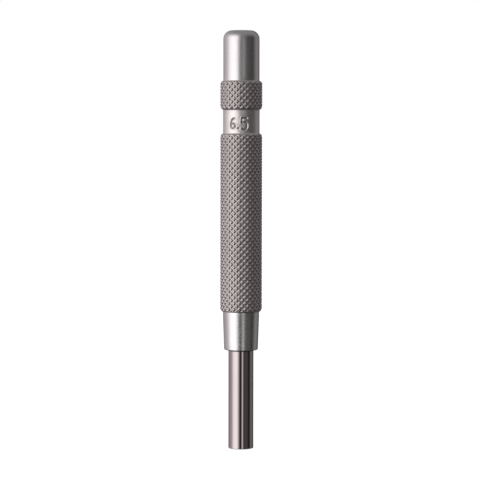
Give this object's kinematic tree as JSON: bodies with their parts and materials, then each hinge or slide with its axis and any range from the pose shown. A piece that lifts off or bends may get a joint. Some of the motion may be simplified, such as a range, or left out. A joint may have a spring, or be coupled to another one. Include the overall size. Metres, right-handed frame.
{
  "type": "pin punch",
  "caption": "Hand punch that drives out pins: a knurled steel body with a struck head, a plain size band and a ground cylindrical pin seated in its tapered nose.",
  "frame": {"origin": "centre of the pin's flat working face, the lowest point of the punch when it stands upright", "axes": "+Z along the punch's axis, from the working face to the struck head; +X and +Y are any two directions square to it, with the size mark facing -Y"},
  "size_m": [0.0108, 0.0108, 0.108],
  "materials": {
    "satin_steel": "satin plated, turned and knurled",
    "ground_steel": "hardened and ground, nearly mirror bright"
  },
  "bodies": {
    "root": {"body": "satin_steel", "pin": "ground_steel"}
  },
  "joints": []
}
